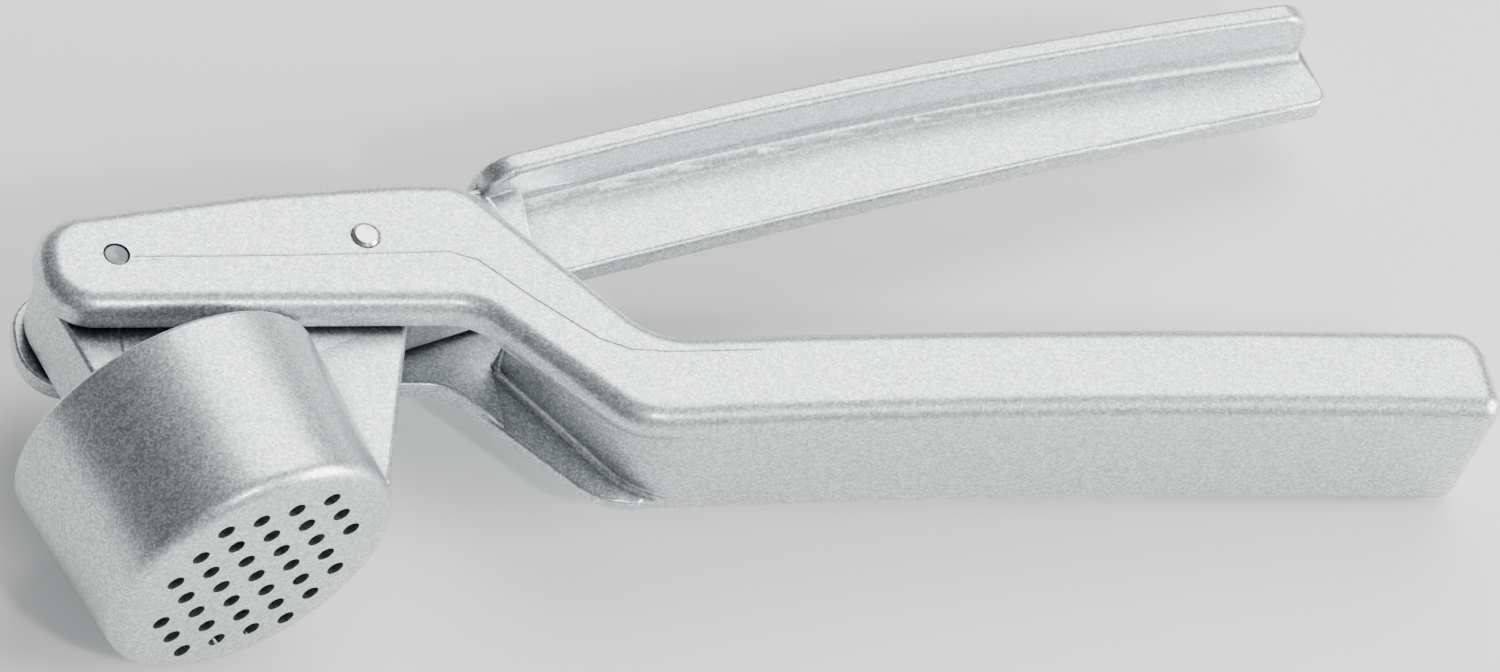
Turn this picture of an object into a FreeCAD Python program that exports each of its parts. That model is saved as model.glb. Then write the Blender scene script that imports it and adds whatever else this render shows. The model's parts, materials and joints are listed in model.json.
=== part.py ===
"""A plier-type garlic press: two die-cast handles, a hinged plunger and two steel pins.

Every piece is drawn in the press's own frame: the origin is on the plunger pin's axis, half-way
between the cheeks, X runs along the lower handle to its end, Y points to the upper handle and Z is
the axis of both pins. The whole press is then laid on its side, as it lies on a table: it rests on
the hopper's rim and on the ends of both handles. The hopper hangs from the upper handle.
"""

import FreeCAD, Part
import math
import os
import re
import Sketcher
from FreeCAD import Placement, Rotation, Vector

SIZES = {
    # lower handle: two cheeks, a sloping arm and a straight grip
    "frame_width": 20.0,
    "fork_gap": 11.4,
    "nose_front": 9.1,
    "nose_top": 5.7,
    "cheek_base": 7.6,
    "brow_x": 18.0,
    "brow_y": 10.0,
    "shoulder_y": 11.5,
    "shoulder_front": 36.0,
    "shoulder_back": 44.2,
    "throat_x": 42.2,
    "arm_foot_x": 63.6,
    "heel_x": 58.6,
    "grip_end": 171.0,
    "grip_top": 11.3,
    "grip_depth": 13.3,
    "grip_bow": 0.8,
    "base_bow": 1.1,
    "floor_thickness": 3.0,
    "end_wall": 4.0,
    "web_thickness": 2.0,
    "web_front": 49.2,
    "web_front_y": 5.7,
    "floor_front": 65.6,
    "recess_gap": 12.6,
    "recess_front": 48.2,
    "recess_front_y": 4.5,
    "recess_turn": 60.0,
    "recess_turn_y": 20.3,
    "recess_end": 69.4,
    "recess_bow": 1.1,
    "recess_round": 0.8,
    "edge_round": 2.8,
    "lip_round": 0.5,
    "nose_round": 6.2,
    "shoulder_round": 7.0,
    "bend_round": 9.0,
    "end_round": 4.5,
    "end_base_round": 3.0,
    # pins
    "fulcrum_x": 30.36,
    "fulcrum_y": 2.65,
    "plunger_pin_diameter": 3.2,
    "fulcrum_pin_diameter": 3.2,
    "pin_fit": 0.05,
    "pin_proud": 0.3,
    "pin_recess": 0.1,
    "pin_dish": -0.35,
    "pin_dome": 0.2,
    "pin_chamfer": 0.3,
    "countersink": 0.35,
    # hopper, on an axis through the plunger pin
    "hopper_lean": 17.8,
    "rim_drop": 16.6,
    "hopper_depth": 23.5,
    "rim_radius": 19.2,
    "foot_radius": 18.1,
    "hopper_wall": 2.0,
    "hopper_floor": 2.4,
    "foot_round": 2.4,
    "rim_round": 0.7,
    "hole_diameter": 2.15,
    "hole_pitch": 4.57,
    # plunger
    "head_fit": 1.4,
    "head_thickness": 3.6,
    "head_reach": 27.2,
    "head_round": 0.5,
    "stem_width": 16.0,
    "side_fit": 0.55,
    "stem_round": 0.8,
    # upper handle: a knuckle between the cheeks, a rib and a crowned strap
    "knuckle_radius": 10.0,
    "knuckle_top": 10.7,
    "knuckle_back": 46.0,
    "knuckle_round": 0.8,
    "hip_round": 4.0,
    "knuckle_end": 53.0,
    "knuckle_end_top": 16.2,
    "knuckle_end_base": 1.8,
    "fin_hip_x": 35.8,
    "fin_hip_y": 4.0,
    "fin_foot": 28.6,
    "fin_foot_y": 29.2,
    "fin_root": 22.6,
    "fin_root_y": 25.2,
    "neck_y": 9.0,
    "strap_start": 47.0,
    "strap_start_y": 14.3,
    "strap_end": 162.4,
    "strap_end_y": 40.4,
    "strap_bow": 2.0,
    "strap_width": 18.8,
    "strap_edge": 2.8,
    "strap_crown": 1.1,
    "strap_round": 0.9,
    "strap_corner": 4.5,
    "rib_start": 47.0,
    "rib_start_drop": 13.9,
    "rib_thickness": 3.5,
    "rib_height": 12.5,
    "rib_end_height": 7.6,
    "rib_round": 0.7,
    "rib_proud": 2.8,
    "rib_top_proud": 0.9,
    "rib_inset": 5.0,
    "rib_rise": 1.5,
    "rib_end_drop": 1.0,
    "rib_end_round": 2.2,
    "joint_round": 2.0,
}

doc = FreeCAD.newDocument("garlic_press")
sizes = doc.addObject("Spreadsheet::Sheet", "sizes")
for row, (name, value) in enumerate(SIZES.items(), start=1):
    sizes.set(f"A{row}", name)
    sizes.set(f"B{row}", str(value))
    sizes.setAlias(f"B{row}", name)
doc.recompute()


def cell(formula):
    """Return the formula with each word in it turned into a reference to the sheet."""
    return re.sub(r"\b([a-z][a-z_]*)\b(?!\()", r"sizes.\1", str(formula))


def value(formula):
    """Work a formula out from the sheet, as a plain number."""
    result = sizes.evalExpression(cell(formula))
    return float(getattr(result, "Value", result))


def new_body(name):
    """Start an empty body."""
    return doc.addObject("PartDesign::Body", name)


def new_sketch(body, name, plane="XY_Plane", turn=0.0, shift=Vector()):
    """Start a sketch on one of the body's own origin planes, turned about the direction of the pins."""
    sketch = body.newObject("Sketcher::SketchObject", name)
    support = [part for part in body.Origin.OriginFeatures if part.Role == plane][0]
    sketch.AttachmentSupport = [(support, "")]
    sketch.MapMode = "FlatFace"
    pin_direction = Vector(0, 0, 1) if plane == "XY_Plane" else Vector(0, 1, 0)
    sketch.AttachmentOffset = Placement(shift, Rotation(pin_direction, turn))
    return sketch


def place_point(sketch, line, end, x, y):
    """Tie a point of the sketch to two formulas, measured from the origin."""
    for axis, formula in (("DistanceX", x), ("DistanceY", y)):
        index = sketch.addConstraint(Sketcher.Constraint(axis, -1, 1, line, end, value(formula)))
        sketch.setExpression(f"Constraints[{index}]", cell(formula))


def draw_side(sketch, corner, after):
    """Draw one side of an outline: a line, or an arc where the corner has a third formula, its bow.

    A positive bow lies on the right of the way from the corner to the one after it.
    """
    start, end = [Vector(value(place[0]), value(place[1]), 0) for place in (corner, after)]
    if len(corner) == 2:
        return sketch.addGeometry(Part.LineSegment(start, end)), 1, 2
    bow = value(corner[2])
    way = end - start
    middle = (start + end) / 2 + Vector(way.y, -way.x, 0) * (bow / way.Length)
    line = sketch.addGeometry(Part.Arc(start, middle, end))
    run, rise = f"({after[0]} - ({corner[0]}))", f"({after[1]} - ({corner[1]}))"
    bend = f"({run} * {run} + {rise} * {rise}) / (8 * {corner[2]}) + {corner[2]} / 2"
    bend = bend if bow > 0 else f"-({bend})"
    index = sketch.addConstraint(Sketcher.Constraint("Radius", line, value(bend)))
    sketch.setExpression(f"Constraints[{index}]", cell(bend))
    swapped = sketch.getPoint(line, 1).distanceToPoint(start) > 0.01
    return (line, 2, 1) if swapped else (line, 1, 2)


def draw_outline(sketch, corners):
    """Draw a closed outline through corners given as formulas, and tie every corner to its place."""
    sides = [draw_side(sketch, *pair) for pair in zip(corners, corners[1:] + corners[:1])]
    for corner, before, side in zip(corners, sides[-1:] + sides[:-1], sides):
        sketch.addConstraint(Sketcher.Constraint("Coincident", before[0], before[2], side[0], side[1]))
        place_point(sketch, side[0], side[1], corner[0], corner[1])


def draw_circle(sketch, x, y, radius):
    """Draw a circle whose centre and radius are formulas."""
    circle = Part.Circle(Vector(value(x), value(y), 0), Vector(0, 0, 1), value(radius))
    line = sketch.addGeometry(circle)
    place_point(sketch, line, 3, x, y)
    index = sketch.addConstraint(Sketcher.Constraint("Radius", line, value(radius)))
    sketch.setExpression(f"Constraints[{index}]", cell(radius))


def add_pad(body, name, sketch, width):
    """Pad a sketch on both sides of its plane, to a full width given as a formula."""
    pad = body.newObject("PartDesign::Pad", name)
    pad.Profile = sketch
    pad.SideType = "Symmetric"
    pad.setExpression("Length", cell(width))
    doc.recompute()
    return pad


def add_pocket(body, name, sketch, width):
    """Cut a sketch on both sides of its plane, to a full width given as a formula."""
    before = body.Tip.Shape.Volume
    pocket = body.newObject("PartDesign::Pocket", name)
    pocket.Profile = sketch
    pocket.SideType = "Symmetric"
    pocket.setExpression("Length", cell(width))
    doc.recompute()
    assert pocket.Shape.Volume < before, name + " cuts nothing"
    return pocket


def add_revolution(body, name, sketch, feature="PartDesign::Revolution"):
    """Turn a sketch a full circle about its own vertical axis."""
    turned = body.newObject(feature, name)
    turned.Profile = sketch
    turned.ReferenceAxis = (sketch, ["V_Axis"])
    turned.Angle = 360
    doc.recompute()
    return turned


def edge_names(feature, wanted):
    """Name the edges of a feature whose middle point and direction pass the test."""
    names = []
    for number, edge in enumerate(feature.Shape.Edges, start=1):
        middle = edge.valueAt((edge.FirstParameter + edge.LastParameter) / 2)
        if wanted(middle, edge):
            names.append(f"Edge{number}")
    return names


def add_fillet(body, name, wanted, radius):
    """Round the edges of the body so far that pass the test."""
    base = body.Tip
    names = edge_names(base, wanted)
    assert names, name + " finds no edge"
    fillet = body.newObject("PartDesign::Fillet", name)
    fillet.Base = (base, names)
    fillet.setExpression("Radius", cell(radius))
    doc.recompute()
    assert "Invalid" not in fillet.State, name + " failed"
    return fillet


def at_corners(corners):
    """Make a test for edges across the width that stand on one of the given corners."""
    spots = [Vector(value(x), value(y), 0) for x, y in corners]

    def wanted(middle, edge):
        flat = Vector(middle.x, middle.y, 0)
        across = abs(middle.z) < 0.01 and edge.BoundBox.ZLength > 1
        return across and min(flat.distanceToPoint(spot) for spot in spots) < 0.05

    return wanted


def make_lower_handle():
    """Make the frame: two cheeks joined by a sloping web and a grip that is open on its upper side."""
    body = new_body("lower_handle")
    nose_top = ("-nose_front", "nose_top")
    nose_base = ("-nose_front", "-cheek_base")
    brow = ("brow_x", "brow_y")
    shoulder_front = ("shoulder_front", "shoulder_y")
    shoulder_back = ("shoulder_back", "shoulder_y")
    arm_foot = ("arm_foot_x", "-grip_top")
    end_top = ("grip_end", "-grip_top")
    end_base = ("grip_end", "-grip_top - grip_depth")
    heel = ("heel_x", "-grip_top - grip_depth")
    throat = ("throat_x", "-cheek_base")
    side = new_sketch(body, "frame_side")
    draw_outline(side, [
        nose_base, throat, heel + ("-base_bow",), end_base, end_top + ("grip_bow",), arm_foot,
        shoulder_back, shoulder_front, brow, nose_top,
    ])
    add_pad(body, "frame_blank", side, "frame_width")
    add_fillet(body, "nose", at_corners([nose_base, nose_top]), "nose_round")
    add_fillet(body, "shoulder", at_corners([shoulder_back, throat]), "shoulder_round")
    add_fillet(body, "bends", at_corners([arm_foot, heel]), "bend_round")
    add_fillet(body, "end_top_corner", at_corners([end_top]), "end_round")
    add_fillet(body, "end_base_corner", at_corners([end_base]), "end_base_round")
    half = value("frame_width / 2")
    add_fillet(body, "outer_edges", lambda middle, edge: abs(abs(middle.z) - half) < 0.01, "edge_round")

    hollow = new_sketch(body, "fork_and_grip_hollow")
    draw_outline(hollow, [
        ("-2 * nose_front", "2 * shoulder_y"),
        ("grip_end - end_wall", "2 * shoulder_y"),
        ("grip_end - end_wall", "-grip_top - grip_depth + floor_thickness"),
        ("floor_front", "-grip_top - grip_depth + floor_thickness"),
        ("web_front", "-web_front_y + web_thickness"),
        ("web_front", "-3 * grip_depth"),
        ("-2 * nose_front", "-3 * grip_depth"),
    ])
    add_pocket(body, "hollow", hollow, "fork_gap")
    wall = value("fork_gap / 2")

    def lip(middle, edge):
        beside_gap = abs(abs(middle.z) - wall) < 0.01
        return beside_gap and middle.x < value("arm_foot_x") and middle.y > -value("nose_top")

    add_fillet(body, "lips", lip, "lip_round")
    recess = new_sketch(body, "arm_recess")
    draw_outline(recess, [
        ("recess_front", "-recess_front_y"),
        ("recess_turn", "-recess_turn_y", "recess_bow"),
        ("recess_end", "-grip_top - grip_depth"),
        ("recess_end", "-3 * grip_depth"),
        ("recess_front", "-3 * grip_depth"),
    ])
    add_pocket(body, "recess", recess, "recess_gap")
    flank = value("recess_gap / 2")

    def recess_corner(middle, edge):
        beside_recess = abs(abs(middle.z) - flank) < 0.01 and edge.BoundBox.ZLength < 0.01
        return beside_recess and edge.BoundBox.YLength > 0.9 * value("recess_turn_y - recess_front_y")

    add_fillet(body, "recess_corners", recess_corner, "recess_round")
    holes = new_sketch(body, "pin_holes")
    draw_circle(holes, 0, 0, "plunger_pin_diameter / 2")
    draw_circle(holes, "fulcrum_x", "fulcrum_y", "fulcrum_pin_diameter / 2")
    add_pocket(body, "pin_bores", holes, "2 * frame_width")
    mouth = math.pi * value("fulcrum_pin_diameter")
    base = body.Tip
    names = edge_names(base, lambda middle, edge: abs(abs(middle.z) - half) < 0.01
                       and abs(edge.Length - mouth) < 0.1 and middle.x > value("fulcrum_x / 2"))
    sink = body.newObject("PartDesign::Chamfer", "fulcrum_countersinks")
    sink.Base = (base, names)
    sink.setExpression("Size", cell("countersink"))
    doc.recompute()
    return body


def make_pin(name, diameter, reach, dome):
    """Turn a pin that reaches as far past the cheeks' middle on each side, with domed or dished ends."""
    body = new_body(name)
    profile = new_sketch(body, name + "_profile", "XZ_Plane")
    rim = f"{diameter} / 2 - pin_chamfer"
    shoulder = f"{reach} - pin_chamfer"
    draw_outline(profile, [
        (0, f"-({reach}) - {dome}"),
        (rim, f"-({reach})"),
        (f"{diameter} / 2", f"-({shoulder})"),
        (f"{diameter} / 2", shoulder),
        (rim, reach),
        (0, f"{reach} + {dome}"),
    ])
    add_revolution(body, name + "_turned", profile)
    return body


def make_plunger():
    """Make the plunger about its pin, with its axis straight down, then lean it with the hopper."""
    body = new_body("plunger")
    stem = new_sketch(body, "stem_side")
    draw_outline(stem, [
        ("-stem_width / 2", 0),
        ("-stem_width / 2", "-head_reach + head_thickness / 2"),
        ("stem_width / 2", "-head_reach + head_thickness / 2"),
        ("stem_width / 2", 0),
    ])
    add_pad(body, "stem", stem, "fork_gap - 2 * side_fit")
    eye = new_sketch(body, "eye_side")
    draw_circle(eye, 0, 0, "stem_width / 2")
    add_pad(body, "eye", eye, "fork_gap - 2 * side_fit")
    depth = value("fork_gap / 2 - side_fit")
    add_fillet(body, "stem_edges", lambda middle, edge: abs(abs(middle.z) - depth) < 0.01, "stem_round")
    head = new_sketch(body, "head_profile")
    radius = "(foot_radius - hopper_wall - head_fit)"
    draw_outline(head, [
        (0, "-head_reach"),
        (f"{radius} - head_round", "-head_reach"),
        (radius, "-head_reach + head_round"),
        (radius, "-head_reach + head_thickness - head_round"),
        (f"{radius} - head_round", "-head_reach + head_thickness"),
        (0, "-head_reach + head_thickness"),
    ])
    add_revolution(body, "head", head)
    bore = new_sketch(body, "plunger_bore_side")
    draw_circle(bore, 0, 0, "plunger_pin_diameter / 2 + pin_fit")
    add_pocket(body, "plunger_bore", bore, "2 * frame_width")
    return body


def hole_places():
    """List the strainer holes: seven rows in a triangular pattern, without the middle row's ends."""
    places = []
    for row in range(-3, 4):
        count = 5 if row == 0 else 7 - abs(row)
        for number in range(count):
            along = number - (count - 1) / 2
            places.append((f"{along} * hole_pitch", f"{row} * hole_pitch * sqrt(3) / 2"))
    return places


def make_upper_handle():
    """Make the casting of hopper, fin, knuckle, rib and crowned strap."""
    body = new_body("upper_handle")
    lean = value("hopper_lean")
    knuckle_width = "fork_gap - 2 * side_fit"
    foot = "-rim_drop - hopper_depth"

    knuckle = new_sketch(body, "knuckle_side")
    draw_outline(knuckle, [
        ("fulcrum_x", "fulcrum_y + knuckle_radius"),
        ("knuckle_back", "fulcrum_y + knuckle_top"),
        ("knuckle_end", "knuckle_end_top"),
        ("knuckle_end", "knuckle_end_base"),
        ("fin_hip_x", "-fin_hip_y"),
        ("fin_foot", "-fin_foot_y"),
        ("fin_root", "-fin_root_y"),
        ("fulcrum_x - knuckle_radius", "-neck_y"),
        ("fulcrum_x - knuckle_radius", "fulcrum_y", "-(1 - sqrt(0.5)) * knuckle_radius"),
    ])
    add_pad(body, "knuckle", knuckle, knuckle_width)
    add_fillet(body, "fin_hip", at_corners([("fin_hip_x", "-fin_hip_y")]), "hip_round")
    knuckle_half = value(knuckle_width) / 2
    add_fillet(body, "knuckle_edges",
               lambda middle, edge: abs(abs(middle.z) - knuckle_half) < 0.01, "knuckle_round")

    hopper = new_sketch(body, "hopper_profile", turn=lean)
    draw_outline(hopper, [
        (0, foot),
        ("foot_radius", foot),
        ("rim_radius", "-rim_drop - rim_round", "(1 - sqrt(0.5)) * rim_round"),
        ("rim_radius - rim_round", "-rim_drop"),
        (0, "-rim_drop"),
    ])
    add_revolution(body, "hopper_blank", hopper)
    foot_circle = value("2 * foot_radius") * math.pi
    add_fillet(body, "foot_edge",
               lambda middle, edge: abs(edge.Length - foot_circle) < 1, "foot_round")

    rib = new_sketch(body, "rib_side")
    draw_outline(rib, [
        ("rib_start", "strap_start_y - rib_start_drop", "-strap_bow / 2"),
        ("strap_end + rib_proud", "strap_end_y - strap_edge - rib_end_height"),
        ("strap_end + rib_top_proud", "strap_end_y - rib_end_drop"),
        ("strap_start + rib_inset", "strap_start_y + rib_rise"),
    ])
    add_pad(body, "rib_blank", rib, "rib_thickness")
    rib_end = ("strap_end + rib_proud", "strap_end_y - strap_edge - rib_end_height")
    add_fillet(body, "rib_end_corner", at_corners([rib_end]), "rib_end_round")

    run, rise = value("strap_end - strap_start"), value("strap_end_y - strap_start_y")
    half_turn = 2 * math.atan(2 * value("strap_bow") / math.hypot(run, rise))
    slope = math.degrees(math.atan2(rise, run) + half_turn)
    start = Vector(value("strap_start_y"), 0, value("strap_start"))
    section = new_sketch(body, "strap_section", "YZ_Plane", turn=slope, shift=start)
    draw_outline(section, [
        ("-strap_edge", "-strap_width / 2"),
        ("-strap_edge", "strap_width / 2"),
        (0, "strap_width / 2", "-strap_crown"),
        (0, "-strap_width / 2"),
    ])
    path = new_sketch(body, "strap_path")
    corner = ("strap_start", "strap_start_y", "-strap_bow")
    draw_side(path, corner, ("strap_end", "strap_end_y"))
    strap = body.newObject("PartDesign::AdditivePipe", "strap")
    strap.Profile = section
    strap.Spine = path
    doc.recompute()
    side, edge_side = value("strap_width / 2"), value("rib_thickness / 2")
    mid_height = value("(strap_start_y + strap_end_y - rib_height - rib_end_height) / 2")

    def strap_corner(middle, edge):
        return abs(abs(middle.z) - side) < 0.01 and edge.Length < value("2 * strap_edge")

    def strap_side(middle, edge):
        return abs(abs(middle.z) - side) < 0.01 and edge.Length > value("2 * strap_edge")

    def strap_joint(middle, edge):
        beside_rib = abs(abs(middle.z) - edge_side) < 0.01 and edge.Length > value("rib_height") * 4
        return beside_rib and middle.y > mid_height

    def rib_edge(middle, edge):
        beside_rib = abs(abs(middle.z) - edge_side) < 0.01 and edge.Length > value("rib_height") * 4
        return beside_rib and middle.y < mid_height

    add_fillet(body, "strap_joint", strap_joint, "joint_round")
    add_fillet(body, "rib_edges", rib_edge, "rib_round")
    add_fillet(body, "strap_corners", strap_corner, "strap_corner")
    add_fillet(body, "strap_edges", strap_side, "strap_round")
    cavity = new_sketch(body, "hopper_bore_profile", turn=lean)
    draw_outline(cavity, [
        (0, foot + " + hopper_floor"),
        ("foot_radius - hopper_wall", foot + " + hopper_floor"),
        ("rim_radius - hopper_wall", "-rim_drop - rim_round"),
        ("rim_radius - hopper_wall + rim_round", "-rim_drop"),
        ("rim_radius - hopper_wall + rim_round", "-rim_drop + rim_round"),
        (0, "-rim_drop + rim_round"),
    ])
    add_revolution(body, "hopper_bore", cavity, "PartDesign::Groove")
    floor = new_sketch(body, "strainer_holes_plan", "XZ_Plane", turn=lean)
    for along, across in hole_places():
        draw_circle(floor, along, across, "hole_diameter / 2")
    unpierced = body.Tip.Shape.Volume
    holes = body.newObject("PartDesign::Pocket", "strainer_holes")
    holes.Profile = floor
    holes.SideType = "Symmetric"
    holes.setExpression("Length", cell("2 * (rim_drop + hopper_depth + rim_round)"))
    doc.recompute()
    assert holes.Shape.Volume < unpierced, "strainer_holes cuts nothing"
    bore = new_sketch(body, "fulcrum_bore_side")
    draw_circle(bore, "fulcrum_x", "fulcrum_y", "fulcrum_pin_diameter / 2 + pin_fit")
    add_pocket(body, "fulcrum_bore", bore, "2 * frame_width")
    return body


def lying_placement(pieces):
    """Lay the press on its side: on the hopper's rim and on the side of each handle's end."""
    lean = math.radians(value("hopper_lean"))
    drop = value("rim_drop")
    rim = Vector(math.sin(lean) * drop, -math.cos(lean) * drop, -value("rim_radius"))
    grip = Vector(value("grip_end - edge_round"), -value("grip_top + edge_round"),
                  -value("frame_width / 2"))
    strap = Vector(value("strap_end - strap_corner"), value("strap_end_y - strap_edge / 2"),
                   -value("strap_width / 2"))
    upward = (grip - rim).cross(strap - rim)
    turned = Placement(Vector(), Rotation(upward, Vector(0, 0, 1)))
    posed = [body.Shape.copy() for body in pieces]
    for shape in posed:
        shape.Placement = turned * shape.Placement
    box = Part.makeCompound(posed).optimalBoundingBox(False)
    centred = Placement(Vector(-box.Center.x, -box.Center.y, -box.ZMin), Rotation())
    return centred * turned


def check_document():
    """Stop if an object failed, or if a piece is missing, empty, open or in more than one solid."""
    for item in doc.Objects:
        assert not {"Invalid", "Error"} & set(item.State), item.Name + " failed"
    for body in pieces:
        assert not body.Shape.isNull() and body.Shape.isValid(), body.Label + " is not valid"
        assert len(body.Shape.Solids) == 1, body.Label + " is not one solid"


fulcrum = Vector(value("fulcrum_x"), value("fulcrum_y"), 0)
lower_handle = make_lower_handle()
plunger = make_plunger()
upper_handle = make_upper_handle()
sunk_reach = "(frame_width / 2 - pin_recess)"
plunger_pin = make_pin("plunger_pin", "plunger_pin_diameter", sunk_reach, "pin_dish")
proud_reach = "(frame_width / 2 + pin_proud)"
fulcrum_pin = make_pin("fulcrum_pin", "fulcrum_pin_diameter", proud_reach, "pin_dome")
pieces = [lower_handle, plunger, upper_handle, plunger_pin, fulcrum_pin]

plunger.Placement = Placement(Vector(), Rotation(Vector(0, 0, 1), value("hopper_lean")))
fulcrum_pin.Placement = Placement(fulcrum, Rotation())
doc.recompute()
lying = lying_placement(pieces)
for body in pieces:
    body.Placement = lying * body.Placement
doc.recompute()
check_document()

os.makedirs("parts", exist_ok=True)
for body in pieces:
    body.Shape.exportStep(f"parts/{body.Label}.step")
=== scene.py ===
"""A die-cast garlic press lying on its side: the coated castings, the pins, the table and the light."""

import json
import math
import bpy
from mathutils import Matrix, Vector


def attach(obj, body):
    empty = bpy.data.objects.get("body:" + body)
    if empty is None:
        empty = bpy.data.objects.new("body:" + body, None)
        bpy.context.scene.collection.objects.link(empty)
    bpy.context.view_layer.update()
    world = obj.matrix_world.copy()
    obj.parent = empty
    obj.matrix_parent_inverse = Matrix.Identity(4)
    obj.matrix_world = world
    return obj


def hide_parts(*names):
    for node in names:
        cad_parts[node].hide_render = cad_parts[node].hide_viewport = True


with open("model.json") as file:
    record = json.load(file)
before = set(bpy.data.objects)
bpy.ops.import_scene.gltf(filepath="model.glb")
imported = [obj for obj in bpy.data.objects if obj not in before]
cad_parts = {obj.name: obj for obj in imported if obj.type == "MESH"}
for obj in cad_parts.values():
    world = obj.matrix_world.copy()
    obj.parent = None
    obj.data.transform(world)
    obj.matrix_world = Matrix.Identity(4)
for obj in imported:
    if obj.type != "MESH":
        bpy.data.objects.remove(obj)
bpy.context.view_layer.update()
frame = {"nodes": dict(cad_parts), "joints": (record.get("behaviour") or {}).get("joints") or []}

# The view. The press lies with its hopper to the left and nearest, and is seen from above and from
# the hopper's side with a long lens. The plunger's pin is the point that the camera is placed from.
hinges = {joint["name"]: joint for joint in frame["joints"]}
plunger_pin_at = Vector(hinges["plunger_hinge"]["pos_m"])
view_offset = Vector((-0.16198, -0.43309, 0.62481))
view_turn = [math.radians(angle) for angle in (35.986, -13.091, -12.077)]
bpy.ops.object.camera_add(location=plunger_pin_at + view_offset, rotation=view_turn)
camera = bpy.context.object
camera.data.lens = 160.04
camera.data.clip_start = 0.01  # metres
bpy.context.scene.camera = camera


# The lower handle. It is one pressure die casting in aluminium, trimmed and then spray coated; the
# cast edges stay softly rounded. The same silver coating covers all three castings.
def linear(hex_colour):
    """Turn an sRGB hex colour to linear red, green, blue and alpha."""
    parts = [int(hex_colour[place:place + 2], 16) / 255 for place in (0, 2, 4)]
    rgb = [part / 12.92 if part <= 0.04045 else ((part + 0.055) / 1.055) ** 2.4 for part in parts]
    return rgb + [1.0]


def add_node(owner, kind, inputs=None, links=None, **settings):
    """Add a node to a material or world, set it up, and feed its inputs from other nodes' outputs."""
    node = owner.node_tree.nodes.new(kind)
    for name, setting in settings.items():
        setattr(node, name, setting)
    for name, amount in (inputs or {}).items():
        node.inputs[name].default_value = amount
    for name, output in (links or {}).items():
        owner.node_tree.links.new(output, node.inputs[name])
    return node


def new_material(name):
    """Start an empty node material."""
    material = bpy.data.materials.new(name)
    material.use_nodes = True
    material.node_tree.nodes.clear()
    return material


def smooth_copy(node_name, body, finish):
    """Copy a casting and shade it as one soft skin: the flats stay flat and only the rounds turn."""
    merge_distance = 0.000002
    sharpest_round = math.radians(35)
    bpy.ops.object.select_all(action="DESELECT")
    source = frame["nodes"][node_name]
    piece = bpy.data.objects.new(node_name + "_casting", source.data.copy())
    bpy.context.collection.objects.link(piece)
    bpy.context.view_layer.objects.active = piece
    piece.select_set(True)
    bpy.ops.object.mode_set(mode="EDIT")
    bpy.ops.mesh.select_all(action="SELECT")
    bpy.ops.mesh.remove_doubles(threshold=merge_distance)
    bpy.ops.object.mode_set(mode="OBJECT")
    bpy.ops.object.shade_smooth_by_angle(angle=sharpest_round)
    weighted = piece.modifiers.new("flat_faces_first", "WEIGHTED_NORMAL")
    weighted.keep_sharp = True
    bpy.ops.object.modifier_apply(modifier=weighted.name)
    piece.data.materials.clear()
    piece.data.materials.append(finish)
    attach(piece, body)
    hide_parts(node_name)


def silver_coating():
    """Silver metallic lacquer, sprayed: pale aluminium flakes under a satin clear film.

    The flakes give a fine sparkle and the film a crisp highlight along each round. Holes, corners and
    the gaps between parts are darkened by painted shade.
    """
    material = new_material("sprayed_silver_lacquer")
    flake_size, flake_height = 0.00024, 0.00004
    peel_size, peel_height = 0.0006, 0.00005
    painted_shade_reach = 0.0025
    place = add_node(material, "ShaderNodeTexCoord")
    flakes = add_node(material, "ShaderNodeTexVoronoi", {"Scale": 1 / flake_size},
                      {"Vector": place.outputs["Object"]}, feature="F1")
    level = add_node(material, "ShaderNodeSeparateColor", links={"Color": flakes.outputs["Color"]})
    tone = add_node(material, "ShaderNodeValToRGB", links={"Fac": level.outputs["Red"]})
    tone.color_ramp.elements[0].color = linear("A9ADB0")
    tone.color_ramp.elements[1].color = linear("EEF1F2")
    tone.color_ramp.elements.new(0.55).color = linear("C9CDCF")
    gloss = add_node(material, "ShaderNodeMapRange", {"To Min": 0.28, "To Max": 0.42},
                     {"Value": level.outputs["Green"]})
    peel = add_node(material, "ShaderNodeTexNoise", {"Scale": 1 / peel_size, "Detail": 2.0},
                    {"Vector": place.outputs["Object"]})
    waves = add_node(material, "ShaderNodeBump", {"Strength": 0.2, "Distance": peel_height},
                     {"Height": peel.outputs["Fac"]})
    grain = add_node(material, "ShaderNodeBump", {"Strength": 0.3, "Distance": flake_height},
                     {"Height": level.outputs["Blue"], "Normal": waves.outputs["Normal"]})
    # Painted shade: an ambient occlusion darkens the flake colour in holes, corners and between parts.
    painted_shade = add_node(material, "ShaderNodeAmbientOcclusion", {"Distance": painted_shade_reach},
                       {"Color": tone.outputs["Color"]}, samples=6)
    shader = add_node(material, "ShaderNodeBsdfPrincipled",
                      {"Metallic": 0.9, "Coat Weight": 0.5, "Coat Roughness": 0.16},
                      {"Base Color": painted_shade.outputs["Color"], "Roughness": gloss.outputs["Result"],
                       "Normal": grain.outputs["Normal"]})
    add_node(material, "ShaderNodeOutputMaterial", links={"Surface": shader.outputs["BSDF"]})
    return material


coating = silver_coating()
smooth_copy("lower_handle", "frame", coating)

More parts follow.
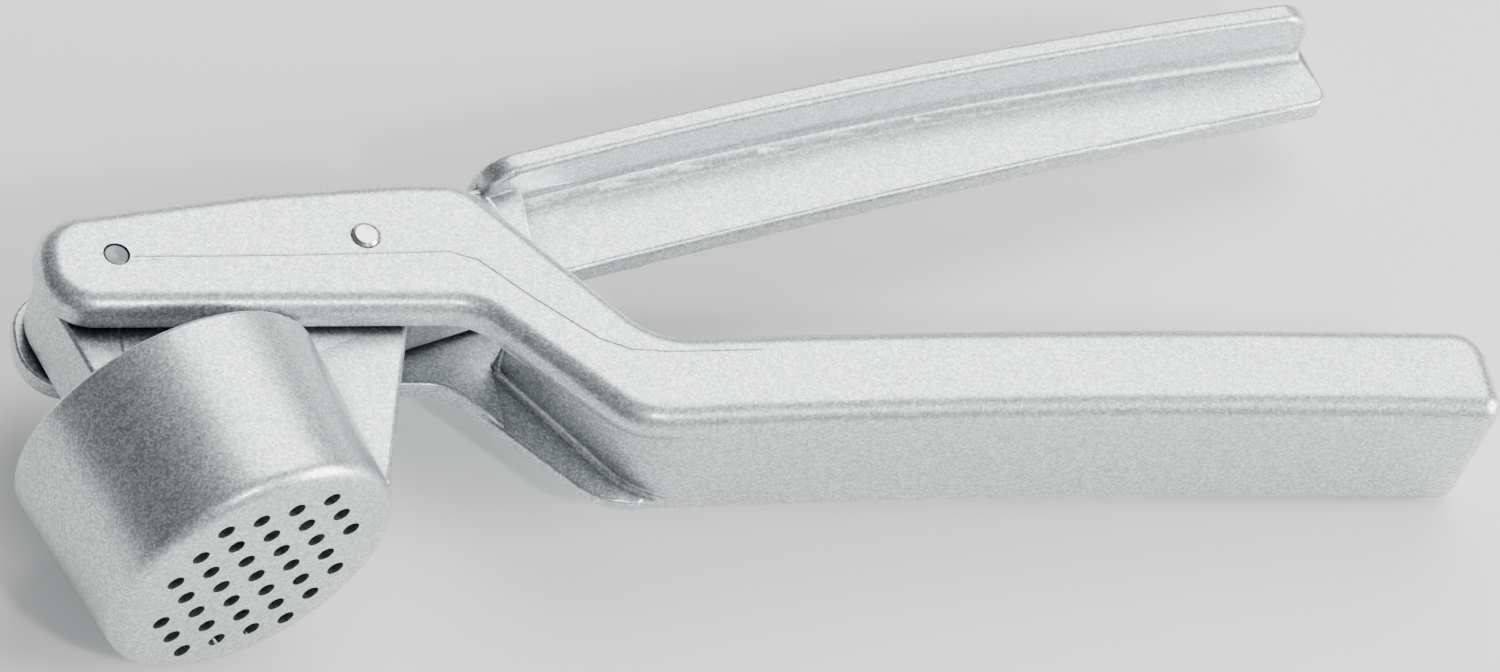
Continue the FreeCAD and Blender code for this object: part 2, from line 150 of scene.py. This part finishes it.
# The die's parting line is left on the outer side of each cheek: a hair-thin ridge that runs along the
# cheek and down the arm, and fades into the grip's upper edge.
fulcrum_pin_at = Vector(hinges["handle_hinge"]["pos_m"])
across = Vector(hinges["handle_hinge"]["axis"]).normalized()
fulcrum_ahead, fulcrum_above = 30.36, 2.65  # millimetres from the plunger's pin
fulcrum_rise = math.atan2(fulcrum_above, fulcrum_ahead)
between_pins = (fulcrum_pin_at - plunger_pin_at).normalized()
along = Matrix.Rotation(-fulcrum_rise, 3, across) @ between_pins
upward = across.cross(along)
millimetre = 0.001
ridge_radius = 0.11 * millimetre
cheek_face = 10 * millimetre
ridge_places = [(2.0, -0.3), (20.0, -0.2), (40.0, 0.3), (43.4, -0.9), (48.7, -6.1), (56.0, -12.4),
                (59.6, -14.0), (64.0, -14.4), (76.0, -14.2)]
for side_name, side in (("near", cheek_face), ("far", -cheek_face)):
    line = bpy.data.curves.new("parting_ridge_" + side_name, "CURVE")
    line.dimensions = "3D"
    line.bevel_depth = ridge_radius
    line.bevel_resolution = 1
    spline = line.splines.new("POLY")
    spline.points.add(len(ridge_places) - 1)
    for point, (run, rise) in zip(spline.points, ridge_places):
        flat_place = along * (run * millimetre) + upward * (rise * millimetre)
        point.co = (*(plunger_pin_at + flat_place + across * side), 1.0)
    ridge = bpy.data.objects.new("parting_ridge_" + side_name, line)
    bpy.context.collection.objects.link(ridge)
    bpy.ops.object.select_all(action="DESELECT")
    bpy.context.view_layer.objects.active = ridge
    ridge.select_set(True)
    bpy.ops.object.convert(target="MESH")
    ridge.data.materials.append(coating)
    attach(ridge, "frame")


# The upper handle: hopper, fin, knuckle, rib and strap in one casting, with the strainer holes drilled
# through the hopper's floor before coating.
smooth_copy("upper_handle", "lever", coating)


# The plunger, cast as a stem with an eye and a round head, and coated like the handles.
smooth_copy("plunger", "plunger", coating)


# The pins. The plunger's pin is drawn steel left as it is sawn; the fulcrum's pin has a bright domed
# end that stands a little out of its countersunk hole.
def pin_steel(name, hex_colour, roughness):
    """Bare steel with a fine drawn grain, which breaks up the reflection on the pin's end."""
    material = new_material(name)
    grain_size = 0.00012
    smoothest, roughest = roughness * 0.8, roughness * 1.3
    place = add_node(material, "ShaderNodeTexCoord")
    lines = add_node(material, "ShaderNodeTexNoise", {"Scale": 1 / grain_size, "Detail": 1.0},
                     {"Vector": place.outputs["Object"]})
    gloss = add_node(material, "ShaderNodeMapRange", {"To Min": smoothest, "To Max": roughest},
                     {"Value": lines.outputs["Fac"]})
    shader = add_node(material, "ShaderNodeBsdfPrincipled",
                      {"Metallic": 1.0, "Base Color": linear(hex_colour)},
                      {"Roughness": gloss.outputs["Result"]})
    add_node(material, "ShaderNodeOutputMaterial", links={"Surface": shader.outputs["BSDF"]})
    return material


for node_name, steel in (("plunger_pin", pin_steel("drawn_steel", "8E9093", 0.45)),
                         ("fulcrum_pin", pin_steel("bright_steel", "DCDDDF", 0.22))):
    pin = frame["nodes"][node_name]
    pin.data.materials.clear()
    pin.data.materials.append(steel)


# The table is a wide sheet of white paper, faintly lit from below so that its shadows stay pale.
table_size = 8.0
bpy.ops.object.select_all(action="DESELECT")
bpy.ops.mesh.primitive_plane_add(size=table_size, location=(0, 0, 0))
table = bpy.context.object
table.name = "table"
table_paint = new_material("matt_white_paper")
paper = add_node(table_paint, "ShaderNodeBsdfPrincipled",
                 {"Base Color": linear("F4F4F4"), "Roughness": 0.9,
                  "Emission Color": linear("FFFFFF"), "Emission Strength": 0.1})
add_node(table_paint, "ShaderNodeOutputMaterial", links={"Surface": paper.outputs["BSDF"]})
table.data.materials.append(table_paint)

# The room is pale on the right and dim on the left, which gives the hopper's left side its dark shade.
world = bpy.data.worlds.new("pale_room")
bpy.context.scene.world = world
world.use_nodes = True
room = world.node_tree.nodes["Background"]
room.inputs["Color"].default_value = linear("F2F4F7")
toward = add_node(world, "ShaderNodeTexCoord")
sides = add_node(world, "ShaderNodeSeparateXYZ", links={"Vector": toward.outputs["Generated"]})
shade = add_node(world, "ShaderNodeMapRange",
                 {"From Min": -0.8, "From Max": 0.5, "To Min": 0.16, "To Max": 0.62},
                 {"Value": sides.outputs["X"]})
world.node_tree.links.new(shade.outputs["Result"], room.inputs["Strength"])


# The lights are a large soft box behind and above, which the upward faces mirror, one on the right for
# the hopper's bright band, and a small one in front that draws the highlights along the rounds.
def soft_box(name, place, aim, size, power):
    """Hang a square soft light that faces the aim point."""
    turn = (Vector(aim) - Vector(place)).to_track_quat("-Z", "Y").to_euler()
    bpy.ops.object.light_add(type="AREA", location=place, rotation=turn)
    light = bpy.context.object
    light.name = name
    light.data.size = size
    light.data.energy = power


on_table = (0, 0, 0)
above_table = (0, 0, 0.02)
soft_box("key_light", (0.36, 0.62, 0.9), on_table, size=0.9, power=13)
soft_box("right_light", (0.75, -0.25, 0.3), above_table, size=0.45, power=11)
soft_box("front_light", (0.22, -0.72, 0.85), above_table, size=0.1, power=4)
